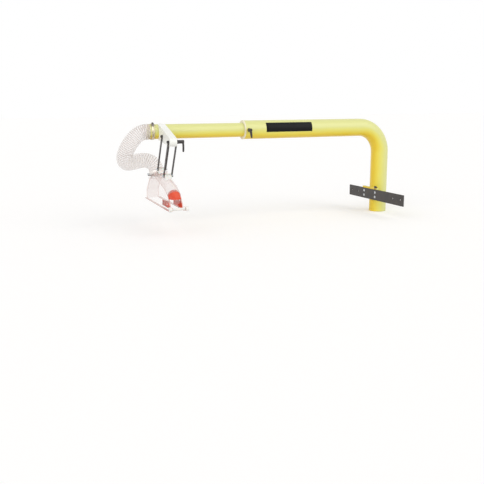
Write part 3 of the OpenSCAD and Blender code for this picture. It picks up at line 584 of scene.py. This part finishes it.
def worm_clamp(end, body, finish, middle, way, out, first):
    """A worm-drive clamp round the line middle + s way, its worm at out.

    Band: point(a, w) = middle + w way + BAND_R (cos b out + sin b along), b = a + w / BAND_SLANT.
    Every third cell of its middle strip is left open as a slot, for SLOT_CELLS cells from the cell first.
    """
    along = np.cross(way, out)
    a = np.linspace(0, TAU, BAND_CELLS, endpoint=False)[:, None]
    w = np.array([-6, -5.2, -3.2, 3.2, 5.2, 6])[None, :] * MM
    b = (a + w / BAND_SLANT)[..., None]
    points = middle + w[..., None] * way + BAND_R * (np.cos(b) * out + np.sin(b) * along)
    faces = grid_faces(BAND_CELLS, 6, round_rows=True)
    row, column = np.divmod(np.arange(len(faces)), 5)
    slot = (column == 2) & (row % 3 == 0) & (row > first) & (row < first + SLOT_CELLS)
    band = (points.reshape(-1, 3), faces[~slot])
    strap = piece(end + "_clamp_strap", band, finish, body, "stainless_band", [end + "_clamp_band"])
    thickened(strap, 0.8 * MM)
    worm_at = middle + WORM_R * out
    run = np.array([-8, -7.2, -4, 0, 4, 7.2, 8])[:, None] * MM * along + worm_at
    ease = np.array([0.9, 1, 1, 1, 1, 1, 0.9])
    case = swept(run, 6 * MM * ease, 5 * MM * ease, 24, way, 0.55)
    piece(end + "_clamp_case", case, CASE_STEEL, body, "stainless_band")
    screw = np.array([[0, -8.6], [3.4, -8.6], [3.9, -8], [3.9, 8], [5.6, 8.2], [5.6, 9.2], [4.4, 9.4]]) * MM
    head = np.array([[4.9, 9.2], [5, 9.4], [5, 12.4], [4.4, 13], [1.2, 13], [1, 12], [0, 12]]) * MM
    worm = joined([turned(screw, worm_at, along), turned(head, worm_at, along, 6)])
    piece(end + "_clamp_worm", worm, ZINC_STEEL, body, "stainless_band", [end + "_clamp_screw"])


def make_clamps():
    """A clamp in the middle of each cuff, its worm turned to where the photograph shows it."""
    turn = math.radians(35)
    middle = np.array([BOOM_END_X + UPPER_CUFF / 2, COLUMN_Y, BOOM_Z])
    out = np.array([0, -math.sin(turn), math.cos(turn)])
    worm_clamp("upper", "boom", BOOM_BAND_PAINTED_REFLECTION, middle, np.array([-1.0, 0, 0]), out, UPPER_SLOTS)
    turn = math.radians(155)
    middle = PORT_AT + (PORT_LEN - LOWER_CUFF / 2) * PORT_WAY
    out = np.array([math.cos(turn), *(math.sin(turn) * PORT_BACK[1:])])
    worm_clamp("lower", "guard", OUTLET_BAND_PAINTED_LIGHT, middle, PORT_WAY, out, LOWER_SLOTS)


def make_plate():
    """A bare plate bent round the front of the arm: point(x, a) = (x, y0 - r cos a, z0 + r sin a)."""
    x = np.linspace(-717, -433, 24)[:, None] * MM
    a = np.radians(np.linspace(-15, 46, 20))[None, :]
    r = ARM_R + 0.55 * MM
    points = np.stack(np.broadcast_arrays(x, COLUMN_Y - r * np.cos(a), BOOM_Z + r * np.sin(a)), -1)
    plate = piece("bare_plate", (points.reshape(-1, 3), grid_faces(24, 20)), BLACK_PLATE, "stand",
                  "black_painted_steel")
    thickened(plate, 0.8 * MM)


def weld(path, size):
    """A weld bead along a path: r = size (1 + 0.14 cos(2 pi s / 2.6 mm)), thinned over its last 3 mm."""
    s = np.concatenate([[0], np.cumsum(np.linalg.norm(np.diff(path, axis=0), axis=1))])
    end = np.clip(np.minimum(s, s[-1] - s) / (3 * MM), 0, 1)
    return swept(path, size * (1 + 0.14 * np.cos(TAU * s / (2.6 * MM))) * (0.3 + 0.7 * end))


def make_welds():
    """Beads where the hanger meets the boom, the boss meets the arm and the bracket meets the column.

    The boss's bead is a ring of radius r laid on the arm: y = y0 - sqrt(ARM_R^2 - rise^2) - 0.3 mm.
    """
    a = np.radians(np.linspace(-78, 78, 180))
    r = BOOM_R + 0.5 * MM
    y, z = COLUMN_Y - r * np.cos(a), BOOM_Z + r * np.sin(a)
    arcs = [weld(np.stack([np.full_like(a, GUARD_X + side * 18.3 * MM), y, z], 1), 1.5 * MM)
            for side in (-1, 1)]
    piece("hanger_welds", joined(arcs), WHITE_COAT, "boom", "white_powder_coat")
    a = np.linspace(0, TAU, 110)
    r = 11.5 * MM
    rise = r * np.sin(a)
    y = COLUMN_Y - np.sqrt(ARM_R**2 - rise**2) - 0.3 * MM
    ring = np.stack([LOCK_X + r * np.cos(a), y, BOOM_Z + rise], 1)
    z = np.linspace(-31, 39, 120) * MM
    posts = [np.stack([np.full_like(z, 15 * MM), np.full_like(z, COLUMN_Y + side * 18.6 * MM), z], 1)
             for side in (-1, 1)]
    beads = [weld(ring, 1.3 * MM)] + [weld(post, 2.2 * MM) for post in posts]
    piece("stand_welds", joined(beads), YELLOW_COAT, "stand", "yellow_powder_coat")


def screw_head(at, way, r=3.4, h=2.3):
    """A small domed screw head with a round recess, r wide and h high in millimetres."""
    share = np.array([[0, 0.5], [0.32, 0.5], [0.36, 1], [0.6, 0.95], [0.86, 0.66], [1, 0.2], [1, 0]])
    profile = share * [r, h] * MM
    return turned(profile, at, way, 24)


def make_guard_screws():
    """Screws through the collar's flange, and through each side panel into the red shield."""
    heads = [screw_head(PORT_AT + MM * (x * np.array([1, 0, 0]) + y * PORT_BACK + 4 * PORT_WAY), PORT_WAY)
             for x in (-22, 22) for y in (-41.5, 41.5)]
    heads += [screw_head(at_guard(side * PANEL_FACE, np.array(back_up) * MM), [side, 0, 0], 3)
              for side in (-1, 1) for back_up in ((-206, 26), (-112, 24))]
    piece("guard_screws", joined(heads), ZINC_STEEL, "guard", "zinc_steel")


def make_visor():
    """The red shield: a half round under the roof's brow, cut off level, with an arm inside each panel.

    Half round: point(u, f) runs straight from the mitre at the brow, u = 0, to the level edge, u = 1:
    centre + VISOR_R (cos f out + sin f X). One more row laps it under the roof behind the brow.
    """
    steps = np.diff([FOREHEAD, BROW, CHIN, LIP], axis=0)
    out = unit(steps[:, ::-1] * [1, -1])
    mitre = (out[:-1] + out[1:]) / (1 + np.sum(out[:-1] * out[1:], axis=1, keepdims=True))
    brow, chin = BROW - DOME_R * mitre[0], CHIN - DOME_R * mitre[1]
    down = unit(steps)
    f = np.linspace(-math.pi / 2, math.pi / 2, 41)[:, None]
    drop = (VISOR_LOW - brow[1] - VISOR_R * np.cos(f) * out[1, 1]) / down[1, 1]
    lap = brow - 12 * MM * down[0] + VISOR_R * np.cos(f) * out[0]
    top = brow + VISOR_R * np.cos(f) * mitre[0]
    low = brow + drop * down[1] + VISOR_R * np.cos(f) * out[1]
    u = np.linspace(0, 1, 12)[:, None, None]
    rows = np.concatenate([lap[None], top + u * (low - top)])
    across = np.broadcast_to(VISOR_R * np.sin(f)[:, 0], rows.shape[:2])
    shells = [(at_guard(across, rows).reshape(-1, 3), grid_faces(*rows.shape[:2]))]
    foot = chin + (ARM_LOW - chin[1]) / down[2, 1] * down[2]
    arm = np.array([brow, low[0], chin, foot, [-88.5 * MM, ARM_LOW], [-96 * MM, 37 * MM],
                    [-222 * MM, 44 * MM]])
    shells += [(at_guard(np.full(len(arm), side * VISOR_R), arm), [list(range(len(arm)))[::side]])
               for side in (-1, 1)]
    visor = piece("red_visor", joined(shells), RED_SHEET, "guard", "red_polycarbonate", ["front_shield"])
    # The cut edges take the pale pink rim material, a painted highlight along the shield's edges
    visor.data.materials.append(RED_EDGE_HIGHLIGHT)
    thickened(visor, 2.4 * MM)
    visor.modifiers["thickness"].material_offset_rim = 1


lever("boom_lever", "boom_lock_lever", "boom_lock",
      np.array([LOCK_X, COLUMN_Y - LOCK_FACE, BOOM_Z]), np.array([0, -1.0, 0]),
      np.array([math.sin(LOCK_TILT), 0, -math.cos(LOCK_TILT)]), 25.5 * MM, 43 * MM)
lever("guard_lever", "guard_lock_lever", "guard_lock", pivot(FRONT_PIVOT) + [NUT_SEAT, 0, 0],
      np.array([1.0, 0, 0]), np.array([0, 0, -1.0]), 34 * MM, 50.5 * MM)
make_pivots()
make_clamps()
make_plate()
make_welds()
make_guard_screws()
make_visor()

# CAD nodes that keep their shape, by finish
FINISHES = {
    YELLOW_COAT: ["mounting_bracket", "column_tube", "lock_boss", "boom_tube"],
    WHITE_COAT: ["hanger_bracket"],
    BLACK_PAINT: ["table_rail", "levelling_screws", "rear_left_link", "rear_right_link", "front_left_link",
                  "front_right_link"],
    ZINC_STEEL: ["bracket_screws", "bracket_nuts", "boom_lock_stud", "nose_axle"],
    CREAM_NYLON: ["arm_bush", "boom_glide"],
    WHITE_NYLON: ["rear_lug", "front_lug", "nose_left_roller", "nose_right_roller", "nose_sleeve"],
    CLEAR_SIDE: ["guard_left_side", "guard_right_side"],
    CLEAR_ROOF: ["guard_roof"],
    CLEAR_COLLAR_PAINTED_LIGHT: ["port_collar"],
}
for finish, names in FINISHES.items():
    for name in names:
        NODES[name].data.materials.clear()
        NODES[name].data.materials.append(finish)

# Floor, light and camera

FLOOR_Z = -111 * MM
SKY_LEVEL = 0.66
FLOOR_LIFT = 0.205


def shown(tree):
    """1 where the camera, a mirror or clear sheet looks, and 0 for the light that falls on the object."""
    path = add(tree, "LightPath")
    clear = add(tree, "Math", {0: path.outputs["Is Camera Ray"], 1: path.outputs["Is Transmission Ray"]},
                operation="MAXIMUM")
    return add(tree, "Math", {0: clear.outputs["Value"], 1: path.outputs["Is Glossy Ray"]},
               operation="MAXIMUM").outputs["Value"]


def make_floor():
    """A plain pale sheet under the foot of the column, white to the camera but for the object's shadow."""
    half = 60.0
    x, y = np.meshgrid([-half, half], [-half, half], indexing="ij")
    points = np.stack([x, y, np.full_like(x, FLOOR_Z)], -1).reshape(-1, 3)
    material, tree, shader = finish_of("pale_floor", Roughness=1.0, Base_Color=linear("#f0efee"),
                                       Specular_IOR_Level=0.0, Emission_Color=(1, 1, 1, 1))
    glow = add(tree, "MapRange", {"Value": shown(tree)}, To_Min=0.0, To_Max=FLOOR_LIFT)
    tree.links.new(glow.outputs["Result"], shader.inputs["Emission Strength"])
    floor = piece("floor", (points, grid_faces(2, 2)[:, ::-1]), material, smooth=False)


def make_world():
    """White where the camera, a mirror or clear sheet sees it, and a soft even light everywhere else."""
    world = bpy.data.worlds.new("studio")
    bpy.context.scene.world = world
    world.use_nodes = True
    tree = world.node_tree
    back = tree.nodes["Background"]
    level = add(tree, "MapRange", {"Value": shown(tree)}, To_Min=SKY_LEVEL, To_Max=1.0)
    tree.links.new(level.outputs["Result"], back.inputs["Strength"])
    back.inputs["Color"].default_value = (1, 1, 1, 1)


def lamp(name, way, angle, strength):
    """A far soft light that comes from way and is angle degrees wide."""
    data = bpy.data.lights.new(name, "SUN")
    data.angle, data.energy = math.radians(angle), strength
    obj = bpy.data.objects.new(name, data)
    side, up = square_to(way)
    turn = np.stack([side, up, unit(way)], 1)
    obj.matrix_world = Matrix(turn.tolist()).to_4x4()
    bpy.context.scene.collection.objects.link(obj)


def make_camera():
    """The photograph's view, 484 by 484: focal length 584.8 pixels, principal point (249.7, 229.8)."""
    image, focal, centre = 484, 584.8, (249.7, 229.8)
    yaw, pitch, roll = math.radians(22.58), math.radians(11.59), math.radians(-0.44)
    ahead = np.array([math.sin(yaw) * math.cos(pitch), math.cos(yaw) * math.cos(pitch), -math.sin(pitch)])
    side = unit(np.cross(ahead, [0, 0, 1]))
    up = np.cross(side, ahead)
    side, up = math.cos(roll) * side + math.sin(roll) * up, math.cos(roll) * up - math.sin(roll) * side
    data = bpy.data.cameras.new("photo_view")
    data.sensor_width = 36
    data.lens = focal / image * data.sensor_width
    data.shift_x = (image / 2 - centre[0]) / image
    data.shift_y = (centre[1] - image / 2) / image
    camera = bpy.data.objects.new("photo_view", data)
    at = (-2.059, -2.968, 0.510)
    rows = [[*turn, place] for turn, place in zip(np.stack([side, up, -ahead], 1), at)]
    camera.matrix_world = Matrix(rows + [[0, 0, 0, 1]])
    bpy.context.scene.collection.objects.link(camera)
    bpy.context.scene.camera = camera


make_floor()
make_world()
# The key comes from the right, the fill from the left, and both are wide enough to leave only soft shadows
lamp("key", (0.5, -0.7, 0.6), 50, 0.9)
lamp("fill", (-0.75, -0.6, 0.3), 70, 0.9)
make_camera()
bpy.context.scene.view_settings.view_transform = "Standard"
